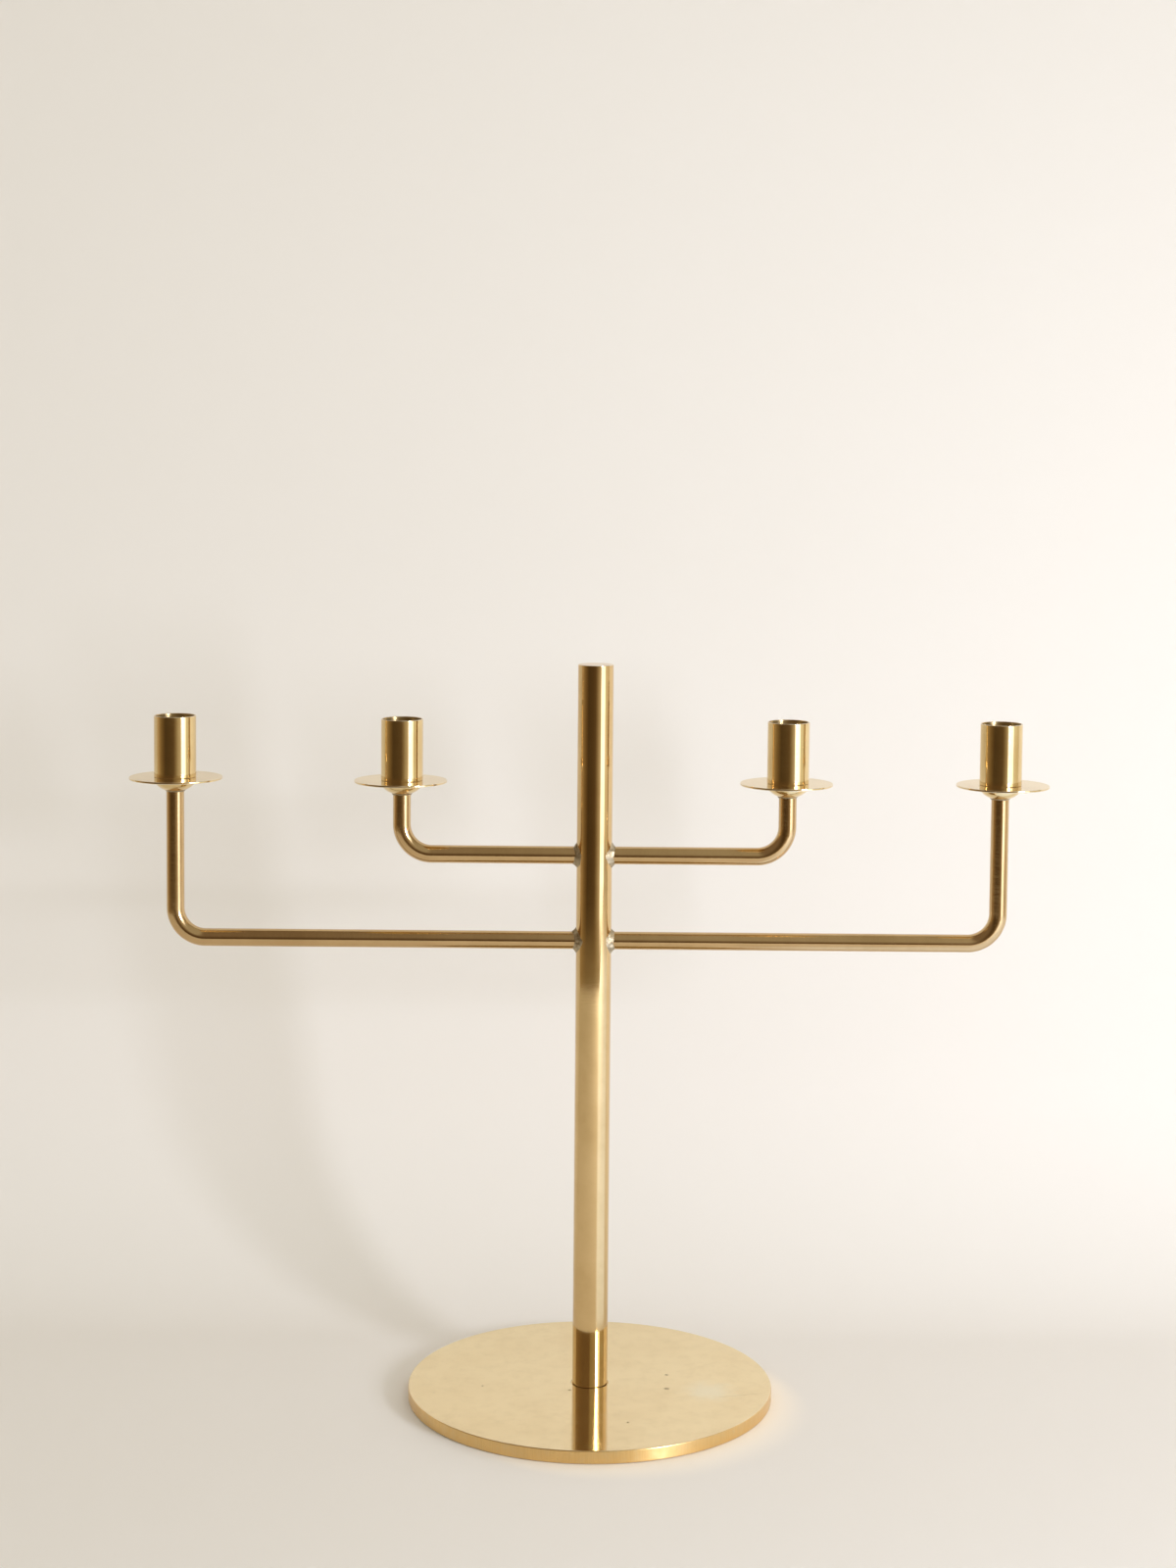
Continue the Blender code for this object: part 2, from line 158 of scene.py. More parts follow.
def turned(name, corners, axis=(0.0, 0.0), sides=128):
    """A turned piece round an upright axis, from the corners that rounded_outline takes.

    Turning and polishing leave rings, so its grain follows the outline. Its flow attribute is its place
    from that axis, with the way along the outline in place of the height.
    """
    outline, edge_shares = rounded_outline(corners)
    shape = bmesh.new()
    flow = []
    grain = []
    edges = []
    rings = []
    way = FLOW_SHIFT * axis[0]
    for index, (radius, height) in enumerate(outline):
        before = outline[max(index - 1, 0)]
        after = outline[min(index + 1, len(outline) - 1)]
        way += math.dist(before, outline[index])
        outward, upward = Vector((after[0] - before[0], after[1] - before[1])).normalized()
        ring = []
        for step in range(sides if radius > 0.0 else 1):
            angle = 2 * math.pi * step / sides
            out = (math.cos(angle), math.sin(angle))
            x = radius * out[0]
            y = radius * out[1]
            ring.append(shape.verts.new((axis[0] + x, axis[1] + y, height)))
            flow.append((x, y, way))
            grain.append((outward * out[0], outward * out[1], upward))
            edges.append(edge_shares[index])
        rings.append(ring)
    pairs = list(zip(rings, rings[1:]))
    if outline[0][0] > 0.0:
        pairs.append((rings[-1], rings[0]))
    for upper, lower in pairs:
        for step in range(sides):
            following = (step + 1) % sides
            four = [upper[step % len(upper)], lower[step % len(lower)]]
            four += [lower[following % len(lower)], upper[following % len(upper)]]
            face = [vertex for index, vertex in enumerate(four) if vertex not in four[:index]]
            if len(face) > 2:
                shape.faces.new(face)
    return finish_mesh(name, shape, flow, grain, edges)


def skin(shape, rings):
    """Lays faces between neighbouring rings of equally many points."""
    for ring, after in zip(rings, rings[1:]):
        for index in range(len(ring)):
            following = (index + 1) % len(ring)
            shape.faces.new((ring[index], ring[following], after[following], after[index]))


def swept_rod(name, route, radius, sides=64):
    """A round rod along a route in the XZ plane.

    Its flow attribute is the rod's place if it were straightened, and its grain points along the rod.
    """
    shape = bmesh.new()
    flow = []
    grain = []
    rings = []
    along = route[0][0][0]
    for index, (point, direction) in enumerate(route):
        if index:
            along += (Vector(point) - Vector(route[index - 1][0])).length
        side = Vector((0.0, 1.0, 0.0))
        up = Vector(direction).cross(side)
        ring = []
        for step in range(sides):
            angle = 2 * math.pi * step / sides
            across = radius * math.cos(angle)
            above = radius * math.sin(angle)
            ring.append(shape.verts.new(Vector(point) + side * across + up * above))
            flow.append((across, above, along))
            grain.append(direction)
        rings.append(ring)
    skin(shape, rings)
    shape.faces.new(rings[0])
    shape.faces.new(rings[-1])
    return finish_mesh(name, shape, flow, grain)


def lumpy(value, place, size, amount):
    """A length made uneven by smooth noise."""
    return value * (1.0 + amount * noise.noise(Vector(place) / size))


# ---------------------------------------------------------------- node helpers


class Graph:
    """Short ways to add nodes to a material's or the world's tree.

    Apart from add and link, each gives the socket that holds the new node's result.
    """

    def __init__(self, tree):
        self.tree = tree

    def add(self, kind, inputs=None, **settings):
        """A new node with its inputs linked or set."""
        node = self.tree.nodes.new(kind)
        for name, value in settings.items():
            setattr(node, name, value)
        for name, value in (inputs or {}).items():
            if isinstance(value, bpy.types.NodeSocket):
                self.tree.links.new(value, node.inputs[name])
            else:
                node.inputs[name].default_value = value
        return node

    def math(self, operation, first, second=0.0, clamp=False):
        node = self.add("ShaderNodeMath", {0: first, 1: second}, operation=operation, use_clamp=clamp)
        return node.outputs[0]

    def times(self, first, second):
        return self.math("MULTIPLY", first, second)

    def length(self, vector):
        return self.add("ShaderNodeVectorMath", {0: vector}, operation="LENGTH").outputs["Value"]

    def distance(self, first, second):
        between = self.add("ShaderNodeVectorMath", {0: first, 1: second}, operation="DISTANCE")
        return between.outputs["Value"]

    def dot(self, first, second):
        product = self.add("ShaderNodeVectorMath", {0: first, 1: second}, operation="DOT_PRODUCT")
        return product.outputs["Value"]

    def attribute(self, name, output="Vector"):
        return self.add("ShaderNodeAttribute", attribute_name=name).outputs[output]

    def link(self, value, socket):
        self.tree.links.new(value, socket)

    def scaled(self, vector, scale):
        node = self.add("ShaderNodeMapping", {"Vector": vector, "Scale": scale})
        return node.outputs[0]

    def noise(self, vector, scale, detail=3.0, roughness=0.5):
        inputs = {"Vector": vector, "Scale": scale, "Detail": detail, "Roughness": roughness}
        return self.add("ShaderNodeTexNoise", inputs).outputs["Fac"]

    def ranged(self, value, low, high, new_low=0.0, new_high=1.0):
        """A smooth step from new_low to new_high while the value goes from low to high."""
        inputs = {"Value": value, "From Min": low, "From Max": high, "To Min": new_low, "To Max": new_high}
        return self.add("ShaderNodeMapRange", inputs, interpolation_type="SMOOTHSTEP").outputs[0]

    def mix(self, factor, first, second):
        node = self.add("ShaderNodeMix", data_type="RGBA")
        for socket, value in ((node.inputs[0], factor), (node.inputs[6], first), (node.inputs[7], second)):
            if isinstance(value, bpy.types.NodeSocket):
                self.tree.links.new(value, socket)
            elif socket.type == "RGBA":
                socket.default_value = (*value, 1.0)
            else:
                socket.default_value = value
        return node.outputs[2]

    def bump(self, height, distance):
        inputs = {"Height": height, "Distance": distance, "Strength": 1.0}
        return self.add("ShaderNodeBump", inputs).outputs[0]


def new_material(name):
    """A material with an empty Principled shader, and its graph."""
    material = bpy.data.materials.new(name)
    material.use_nodes = True
    graph = Graph(material.node_tree)
    shader = material.node_tree.nodes["Principled BSDF"]
    return material, graph, shader


# ---------------------------------------------------------------- materials


def brass_specks(graph, flow):
    """Where the few small dark specks are."""
    cells = graph.add("ShaderNodeTexVoronoi", {"Vector": flow, "Scale": 80.0, "Randomness": 1.0})
    chosen = graph.add("ShaderNodeSeparateColor", {"Color": cells.outputs["Color"]}).outputs[0]
    rare = graph.math("GREATER_THAN", chosen, 0.93)
    spot = graph.ranged(cells.outputs["Distance"], 0.02, 0.07, 1.0, 0.0)
    return graph.times(graph.times(spot, rare), 0.5)


def brass_colour(graph, flow, speck, clean, aged, age):
    """Cloudy tarnish, edges rubbed bright in places, and dark specks."""
    cloud = graph.noise(flow, 22.0, 5.0, 0.6)
    tarnish = graph.ranged(cloud, 0.35, 0.75, 0.0, age)
    fine_cloud = graph.noise(flow, 160.0, 3.0, 0.6)
    mottle = graph.ranged(fine_cloud, 0.5, 0.8, 0.0, 0.2 * age)
    colour = graph.mix(graph.math("ADD", tarnish, mottle, clamp=True), clean, aged)
    rubbed = graph.ranged(graph.noise(flow, 300.0, 3.0, 0.6), 0.35, 0.6, 0.35, 0.9)
    bright = tuple(0.45 + 0.55 * part for part in clean)
    colour = graph.mix(graph.times(graph.attribute("edge", "Fac"), rubbed), colour, bright)
    dark = tuple(0.18 * part for part in aged)
    return graph.mix(speck, colour, dark)


def brass_roughness(graph, flow, speck, polished, scratched):
    """Fine rings of scratches, dull smears and dull specks."""
    rings = graph.noise(graph.scaled(flow, (0.05, 0.05, 1.0)), 2600.0, 2.0, 0.5)
    rough = graph.ranged(rings, 0.3, 0.7, polished, scratched)
    smear = graph.ranged(graph.noise(flow, 34.0, 4.0, 0.65), 0.5, 0.75, 0.0, 0.35 * polished)
    rough = graph.math("ADD", rough, smear)
    return graph.math("ADD", rough, graph.times(speck, 0.3), clamp=True)


def brass(name, clean, aged, age, polished, scratched, wave_height):
    """Polished brass, whose hairline scratches run round each piece and spread the light across them.

    clean and aged are its colours, and age is the most that tarnish takes of it. polished and scratched are
    its roughness between the scratches and on them. wave_height is the size of its soft unevenness.
    """
    material, graph, shader = new_material(name)
    flow = graph.attribute("flow")
    speck = brass_specks(graph, flow)
    colour = brass_colour(graph, flow, speck, clean, aged, age)
    graph.link(colour, shader.inputs["Base Color"])
    rough = brass_roughness(graph, flow, speck, polished, scratched)
    graph.link(rough, shader.inputs["Roughness"])
    wave = graph.noise(graph.scaled(flow, (1.0, 1.0, 0.35)), 90.0, 2.0, 0.5)
    graph.link(graph.bump(wave, wave_height), shader.inputs["Normal"])
    graph.link(graph.attribute("grain"), shader.inputs["Tangent"])
    shader.inputs["Anisotropic"].default_value = 0.8
    shader.inputs["Metallic"].default_value = 1.0
    return material


def overlay(graph, shader, socket_name, factor, value):
    """Lays a colour or a number over what already feeds one of the shader's sockets."""
    socket = shader.inputs[socket_name]
    before = socket.links[0].from_socket
    if socket.type == "RGBA":
        after = graph.mix(factor, before, value)
    else:
        after = graph.math("ADD", before, graph.times(factor, value), clamp=True)
    graph.link(after, socket)


def mark_rim(graph, shader, parts, out):
    """The rim is redder and rougher than the top, with fine upright streaks."""
    radius = radius_and_heights("base_plate")[0]
    rim = graph.ranged(out, radius - 0.45 * MM, radius - 0.2 * MM)
    around = graph.math("ARCTAN2", parts.outputs["Y"], parts.outputs["X"])
    unrolled = graph.add("ShaderNodeCombineXYZ", {0: around, 1: parts.outputs["Z"]}).outputs[0]
    streaks = graph.noise(graph.scaled(unrolled, (150.0, 60.0, 1.0)), 1.0, 5.0, 0.7)
    streak = graph.times(rim, graph.ranged(streaks, 0.3, 0.75))
    overlay(graph, shader, "Base Color", graph.times(rim, 0.9), (0.83, 0.56, 0.23))
    overlay(graph, shader, "Base Color", graph.times(streak, 0.32), (0.62, 0.38, 0.13))
    overlay(graph, shader, "Roughness", rim, 0.17)
    overlay(graph, shader, "Roughness", streak, 0.05)


# X, Y and size of the specks on the base plate, in millimetres
BASE_SPECKS = (
    (44.2, 12.1, 1.6),
    (43.6, -9.9, 2.2),
    (-11.4, -13.2, 1.5),
    (-61.0, -8.0, 1.0),
    (21.0, -62.0, 1.2),
)


def mark_specks(graph, shader, place, top):
    """Dark specks with ragged edges."""
    edge_noise = graph.noise(place, 900.0, 3.0, 0.6)
    for x, y, millimetres in BASE_SPECKS:
        size = millimetres * MM
        distance = graph.distance(place, (x * MM, y * MM, top))
        ragged = graph.math("ADD", distance, graph.times(edge_noise, size))
        spot = graph.ranged(ragged, 0.85 * size, 1.45 * size, 0.75, 0.0)
        overlay(graph, shader, "Base Color", spot, (0.18, 0.11, 0.04))
        overlay(graph, shader, "Roughness", spot, 0.3)


def mark_haze(graph, shader, place):
    """A thin, patchy haze over the whole plate."""
    haze = graph.ranged(graph.noise(place, 110.0, 6.0, 0.7), 0.42, 0.7)
    overlay(graph, shader, "Base Color", graph.times(haze, 0.4), (0.74, 0.59, 0.33))
    overlay(graph, shader, "Roughness", haze, 0.05)


def mark_smudge(graph, shader, place, top):
    """A pale cloudy smudge to the right of the column."""
    distance = graph.distance(place, (67.5 * MM, -13.0 * MM, top))
    cloud = graph.noise(place, 120.0, 3.0, 0.6)
    cloudy = graph.math("ADD", distance, graph.times(cloud, 20.0 * MM))
    smudge = graph.ranged(cloudy, 13.0 * MM, 30.0 * MM, 1.0, 0.0)
    overlay(graph, shader, "Base Color", graph.times(smudge, 0.6), (0.84, 0.79, 0.60))
    overlay(graph, shader, "Roughness", smudge, 0.06)


def mark_scratch(graph, shader, flat):
    """One fine scratch near the right edge, which fades out at both ends."""
    start = Vector((70.8 * MM, -23.1 * MM, 0.0))
    end = Vector((101.7 * MM, -14.7 * MM, 0.0))
    turn = math.atan2(end.y - start.y, end.x - start.x)
    inputs = {"Vector": flat, "Location": start, "Rotation": (0.0, 0.0, turn)}
    along = graph.add("ShaderNodeMapping", inputs, vector_type="TEXTURE").outputs[0]
    along = graph.add("ShaderNodeSeparateXYZ", {0: along})
    width = graph.ranged(graph.math("ABSOLUTE", along.outputs["Y"]), 0.1 * MM, 0.35 * MM, 1.0, 0.0)
    begun = graph.ranged(along.outputs["X"], 0.0, 6.0 * MM)
    ended = graph.ranged(along.outputs["X"], 24.0 * MM, 31.0 * MM, 1.0, 0.0)
    scratch = graph.times(width, graph.times(begun, ended))
    overlay(graph, shader, "Base Color", graph.times(scratch, 0.5), (0.45, 0.32, 0.14))
    overlay(graph, shader, "Roughness", scratch, 0.12)


def mark_base(material):
    """The base plate's own wear, one kind laid over the other."""
    graph = Graph(material.node_tree)
    shader = graph.tree.nodes["Principled BSDF"]
    place = graph.add("ShaderNodeTexCoord").outputs["Object"]
    parts = graph.add("ShaderNodeSeparateXYZ", {0: place})
    flat = graph.add("ShaderNodeCombineXYZ", {0: parts.outputs["X"], 1: parts.outputs["Y"]}).outputs[0]
    top = radius_and_heights("base_plate")[2]
    mark_rim(graph, shader, parts, graph.length(flat))
    mark_specks(graph, shader, place, top)
    mark_haze(graph, shader, place)
    mark_smudge(graph, shader, place, top)
    mark_scratch(graph, shader, flat)


def dull_inside(material, bore):
    """The inside of the cups was never polished: it is dull from the tube maker and from old wax."""
    graph = Graph(material.node_tree)
    shader = graph.tree.nodes["Principled BSDF"]
    flow = graph.attribute("flow")
    flat = graph.add("ShaderNodeVectorMath", {0: flow, 1: (1.0, 1.0, 0.0)}, operation="MULTIPLY").outputs[0]
    inside = graph.ranged(graph.length(flat), bore + 0.05 * MM, bore + 0.3 * MM, 1.0, 0.0)
    patchy = graph.ranged(graph.noise(flow, 260.0, 4.0, 0.6), 0.3, 0.7, 0.6, 1.0)
    overlay(graph, shader, "Roughness", graph.times(inside, patchy), 0.32)
    overlay(graph, shader, "Base Color", graph.times(inside, 0.6), (0.50, 0.36, 0.18))


def solder_metal():
    """Soft solder: a warm cloudy grey, lumpy and unevenly dull."""
    material, graph, shader = new_material("soft_solder")
    flow = graph.attribute("flow")
    cloud = graph.ranged(graph.noise(flow, 420.0, 4.0, 0.6), 0.35, 0.7)
    colour = graph.mix(cloud, (0.52, 0.44, 0.30), (0.28, 0.21, 0.12))
    graph.link(colour, shader.inputs["Base Color"])
    rough = graph.ranged(graph.noise(flow, 700.0, 3.0), 0.3, 0.7, 0.36, 0.55)
    graph.link(rough, shader.inputs["Roughness"])
    normal = graph.bump(graph.noise(flow, 550.0, 3.0, 0.6), 0.0004)
    graph.link(normal, shader.inputs["Normal"])
    shader.inputs["Metallic"].default_value = 1.0
    return material


def felt_cloth():
    """Dark green felt of matted fibres, a little faded in patches."""
    material, graph, shader = new_material("green_felt")
    place = graph.add("ShaderNodeTexCoord").outputs["Object"]
    fibres = graph.noise(place, 1800.0, 6.0, 0.7)
    patches = graph.noise(place, 60.0, 3.0)
    colour = graph.mix(graph.ranged(fibres, 0.3, 0.7), (0.018, 0.055, 0.032), (0.05, 0.115, 0.075))
    colour = graph.mix(graph.ranged(patches, 0.4, 0.7, 0.0, 0.4), colour, (0.05, 0.10, 0.07))
    graph.link(colour, shader.inputs["Base Color"])
    normal = graph.bump(fibres, 0.0005)
    graph.link(normal, shader.inputs["Normal"])
    shader.inputs["Roughness"].default_value = 0.95
    shader.inputs["Sheen Weight"].default_value = 0.4
    return material


def steel_metal():
    """Plain steel with fine rings from the lathe."""
    material, graph, shader = new_material("bolt_steel")
    flow = graph.attribute("flow")
    rings = graph.noise(graph.scaled(flow, (0.1, 0.1, 1.0)), 3000.0, 2.0)
    cloud = graph.noise(flow, 200.0, 4.0)
    colour = graph.mix(graph.ranged(cloud, 0.35, 0.7), (0.46, 0.46, 0.47), (0.30, 0.29, 0.28))
    graph.link(colour, shader.inputs["Base Color"])
    rough = graph.ranged(rings, 0.3, 0.7, 0.25, 0.4)
    graph.link(rough, shader.inputs["Roughness"])
    shader.inputs["Metallic"].default_value = 1.0
    return material


# ---------------------------------------------------------------- the candelabra


def keep(piece, node, material):
    """Gives a piece its material, and lets it stand for a CAD node."""
    piece.data.materials.append(material)
    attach(piece, BODY)
    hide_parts(node)


def cut_away(piece, cutter):
    """Cuts the shape that a bmesh holds out of a piece."""
    mesh = bpy.data.meshes.new("cutter")
    cutter.to_mesh(mesh)
    cutter.free()
    tool = bpy.data.objects.new("cutter", mesh)
    bpy.context.scene.collection.objects.link(tool)
    cut = piece.modifiers.new("cut", "BOOLEAN")
    cut.object = tool
    cut.solver = "EXACT"
    bpy.context.view_layer.update()
    evaluated = piece.evaluated_get(bpy.context.evaluated_depsgraph_get())
    piece_mesh = bpy.data.meshes.new_from_object(evaluated)
    piece.modifiers.clear()
    piece.data = piece_mesh
    bpy.data.objects.remove(tool, do_unlink=True)


def make_base_plate(base_brass):
    """The turned plate, with a socket for the column, a countersunk hole and a recess for the felt."""
    radius, bottom, top = radius_and_heights("base_plate")
    bolt_radius = radius_and_heights("column_bolt")[0]
    hole_radius = SHANK_RADIUS + 0.3 * MM
    cone_foot = bolt_radius + 0.45 * MM
    socket_floor = top - SOCKET_DEPTH
    corners = (
        (SOCKET_RADIUS, top, 0.4 * MM),
        (radius, top, 0.6 * MM),
        (radius, bottom, 0.5 * MM),
        (FELT_RECESS_RADIUS, bottom, 0.2 * MM),
        (FELT_RECESS_RADIUS, FELT_RECESS_TOP),
        (cone_foot, FELT_RECESS_TOP),
        (hole_radius, FELT_RECESS_TOP + cone_foot - hole_radius),
        (hole_radius, socket_floor),
        (SOCKET_RADIUS, socket_floor),
    )
    keep(turned("turned_base", corners, sides=288), "base_plate", base_brass)


def make_felt(felt):
    """The felt disc in the base's recess."""
    radius, bottom, top = radius_and_heights("base_felt")
    corners = ((0.0, top), (radius, top, 0.1 * MM), (radius, bottom, 0.3 * MM), (0.0, bottom))
    keep(turned("felt_disc", corners, sides=192), "base_felt", felt)


def make_bolt(steel):
    """The countersunk bolt that holds the column, with a hex socket in its head."""
    radius, face, tip = radius_and_heights("column_bolt")
    cone_top = face + radius - SHANK_RADIUS
    corners = (
        (0.0, tip),
        (SHANK_RADIUS, tip, 0.6 * MM),
        (SHANK_RADIUS, cone_top),
        (radius, face, 0.2 * MM),
        (0.0, face),
    )
    bolt = turned("countersunk_bolt", corners, sides=48)
    hex_radius = 2.9 * MM
    hex_depth = 2.6 * MM
    hexagon = {"radius1": hex_radius, "radius2": hex_radius, "segments": 6, "cap_ends": True}
    cutter = bmesh.new()
    bmesh.ops.create_cone(cutter, depth=2 * hex_depth, **hexagon)
    bmesh.ops.translate(cutter, vec=(0.0, 0.0, face), verts=cutter.verts)
    cut_away(bolt, cutter)
    keep(bolt, "column_bolt", steel)


def make_column(rod_brass):
    """The column, with a bore for the bolt in its foot."""
    radius = radius_and_heights("column")[0]
    top = radius_and_heights("column")[2]
    socket_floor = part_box("base_plate")[1].z - SOCKET_DEPTH
    bore_radius = 4.3 * MM
    bore_top = 24.5 * MM
    corners = (
        (0.0, top),
        (radius, top, 0.35 * MM),
        (radius, socket_floor, 0.2 * MM),
        (bore_radius, socket_floor),
        (bore_radius, bore_top),
        (0.0, bore_top),
    )
    keep(turned("column_bar", corners, sides=128), "column", rod_brass)


def arm_route(side, reach, height, top):
    """Centre line of an arm as (point, direction) pairs.

    Its straight parts have an extra point beside the column and on both sides of the bend.
    """
    bend_start = reach - BEND_RADIUS
    route = []
    for x in (ARM_START, 30.0 * MM, bend_start - 10.0 * MM):
        route.append(((side * x, 0.0, height), (side, 0.0, 0.0)))
    bend_steps = 36
    for step in range(bend_steps + 1):
        angle = math.pi / 2 * step / bend_steps
        x = bend_start + BEND_RADIUS * math.sin(angle)
        z = height + BEND_RADIUS * (1.0 - math.cos(angle))
        route.append(((side * x, 0.0, z), (side * math.cos(angle), 0.0, math.sin(angle))))
    route.append(((side * reach, 0.0, top - 8.0 * MM), (0.0, 0.0, 1.0)))
    route.append(((side * reach, 0.0, top), (0.0, 0.0, 1.0)))
    return route


def make_arm_solder(name, side, height, rod_radius, solder, seed):
    """The fillet round an arm where it meets the round column, uneven as hand soldering leaves it."""
    column_radius = radius_and_heights("column")[0]
    around = 96
    arc_steps = 10
    sink = 0.25 * MM  # the toes run this far into the brass, so that no gap shows
    leg = 2.9 * MM
    bulge = 0.35 * MM
    lump_size = 4.0 * MM
    fine_lump = 0.18 * MM
    fine_lump_size = 1.6 * MM
    noise_reach = 6.0  # millimetres from the arm's axis to where the noise for the lumps is read
    noise_apart = 0.05  # keeps the lumps along the column unlike those along the arm
    shape = bmesh.new()
    flow = []
    rings = []
    for step in range(around):
        angle = 2 * math.pi * step / around
        out = (math.sin(angle), math.cos(angle))
        here = (out[0] * noise_reach * MM + seed, out[1] * noise_reach * MM, height)
        there = (here[0], here[1], height + noise_apart)
        arm_leg = lumpy(leg, here, lump_size, 0.45)
        column_leg = lumpy(leg, there, lump_size, 0.35)
        inner = rod_radius - sink
        section = [(-sink, inner - sink)]
        for arc in range(arc_steps + 1):
            turn = math.pi / 2 * arc / arc_steps
            distance = inner + column_leg * (1.0 - math.cos(turn))
            forward = arm_leg * (1.0 - math.sin(turn))
            swell = bulge * math.sin(2 * turn)
            section.append((forward + swell, distance + swell))
        ring = []
        for forward, distance in section:
            across = distance * out[0]
            face = math.sqrt(max(column_radius**2 - across**2, 0.0)) - sink
            x = side * (face + forward)
            place = Vector((x, across, height + distance * out[1]))
            lump = fine_lump * noise.noise(place / fine_lump_size + Vector((seed, 0.0, 0.0)))
            place += Vector((side * 0.7, 0.7 * out[0], 0.7 * out[1])) * lump
            ring.append(shape.verts.new(place))
            flow.append(tuple(place))
        rings.append(ring)
    skin(shape, rings + rings[:1])
    piece = finish_mesh(f"{name}_fillet", shape, flow, flow, sharp=60.0)
    keep(piece, f"{name}_arm_solder", solder)


def make_seat_solder(name, axis, rod_radius, seat_bottom, solder, seed):
    """A thin uneven bead of solder under a seat."""
    around = 96
    overlap = 0.2 * MM  # into the brass
    least = 0.15 * MM
    shape = bmesh.new()
    flow = []
    rings = []
    for step in range(around):
        angle = 2 * math.pi * step / around
        out = Vector((math.cos(angle), math.sin(angle), 0.0))
        ripple = noise.noise(out * 2.2 + Vector((seed, 0.0, 0.0)))
        fine = noise.noise(out * 7.0 + Vector((0.0, seed, 0.0)))
        height = (0.55 + 0.45 * ripple + 0.2 * fine) * MM
        width = (0.75 + 0.35 * ripple + 0.25 * fine) * MM
        inner = rod_radius - overlap
        outer = rod_radius + max(width, least)
        low = seat_bottom - max(height, least)
        top = seat_bottom + least
        middle = (rod_radius + 0.45 * (outer - rod_radius), low + 0.35 * (top - low))
        section = ((inner, low), (rod_radius + 0.1 * MM, low), middle, (outer, top), (inner, top))
        ring = []
        for radius, z in section:
            place = (axis[0] + radius * out.x, axis[1] + radius * out.y, z)
            ring.append(shape.verts.new(place))
            flow.append(place)
        rings.append(ring)
    skin(shape, rings + rings[:1])
    piece = finish_mesh(f"{name}_seat_bead", shape, flow, flow, sharp=60.0)
    keep(piece, f"{name}_seat_solder", solder)


def make_arm(name, arm_brass):
    """One bent rod. Gives its side, its height, its own radius and the height of its top."""
    low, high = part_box(f"{name}_arm")
    rod_radius = (high.y - low.y) / 2
    height = low.z + rod_radius
    side = 1.0 if high.x + low.x > 0.0 else -1.0
    reach = max(abs(high.x), abs(low.x)) - rod_radius
    route = arm_route(side, reach, height, high.z)
    keep(swept_rod(f"{name}_rod", route, rod_radius), f"{name}_arm", arm_brass)
    return side, height, rod_radius, high.z


def make_seat(name, axis, arm_top, plate_bottom, sheet_brass):
    """The bowl-shaped seat; its underside is part of an ellipse."""
    radius = radius_and_heights(f"{name}_cup_seat")[0]
    last = math.acos(SEAT_NECK_RADIUS / radius)
    depth = (plate_bottom - arm_top) / math.sin(last)
    steps = 20
    corners = []
    for step in range(steps + 1):
        angle = last * step / steps
        corners.append((radius * math.cos(angle), plate_bottom - depth * math.sin(angle)))
    corners.append((SCREW_HOLE_RADIUS, arm_top))
    corners.append((SCREW_HOLE_RADIUS, plate_bottom))
    keep(turned(f"{name}_seat_bowl", corners, axis, 96), f"{name}_cup_seat", sheet_brass)


def make_plate(name, sheet_brass):
    """A flat drip plate with rounded edges."""
    radius, bottom, top = radius_and_heights(f"{name}_drip_plate")
    edge = 0.3 * (top - bottom)
    corners = (
        (radius, top, edge),
        (radius, bottom, edge),
        (PLATE_HOLE_RADIUS, bottom),
        (PLATE_HOLE_RADIUS, top),
    )
    plate = turned(f"{name}_pan", corners, axis_of(f"{name}_drip_plate"), 144)
    keep(plate, f"{name}_drip_plate", sheet_brass)


def make_cup(name, axis, plate_top, cup_brass):
    """A thin-walled cup with a countersunk hole in its floor."""
    radius, bottom, rim = radius_and_heights(f"{name}_candle_cup")
    bore = radius - CUP_WALL
    floor = bottom + CUP_FLOOR
    head_radius = radius_and_heights(f"{name}_cup_screw")[0] + 0.1 * MM
    cone_depth = head_radius - SCREW_HOLE_RADIUS
    corners = (
        (radius, rim, 0.3 * MM),
        (radius, plate_top, 0.35 * MM),
        (SCREW_HOLE_RADIUS, plate_top),
        (SCREW_HOLE_RADIUS, floor - cone_depth),
        (head_radius, floor),
        (bore, floor, 0.6 * MM),
        (bore, rim, 0.3 * MM),
    )
    keep(turned(f"{name}_cup", corners, axis, 128), f"{name}_candle_cup", cup_brass)


def make_screw(name, axis, cup_floor, sheet_brass):
    """A countersunk screw with a slot, which stands at its own angle in each light."""
    low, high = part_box(f"{name}_cup_screw")
    head_radius = (high.y - low.y) / 2
    corners = (
        (0.0, cup_floor - SCREW_HEAD_SINK),
        (head_radius, cup_floor - SCREW_HEAD_SINK, 0.15 * MM),
        (SCREW_RADIUS, cup_floor - SCREW_HEAD_SINK - head_radius + SCREW_RADIUS),
        (SCREW_RADIUS, low.z, 0.3 * MM),
        (0.0, low.z),
    )
    screw = turned(f"{name}_screw", corners, axis, 48)
    slot_width = 1.0 * MM
    slot_depth = 0.9 * MM
    slot_turn = 0.7  # radians per millimetre of X
    cutter = bmesh.new()
    bmesh.ops.create_cube(cutter, size=1.0)
    bmesh.ops.scale(cutter, vec=(4 * head_radius, slot_width, 2 * slot_depth), verts=cutter.verts)
    turn = Matrix.Rotation(slot_turn * axis[0] / MM, 3, "Z")
    bmesh.ops.rotate(cutter, matrix=turn, verts=cutter.verts)
    bmesh.ops.translate(cutter, vec=(axis[0], axis[1], high.z), verts=cutter.verts)
    cut_away(screw, cutter)
    keep(screw, f"{name}_cup_screw", sheet_brass)


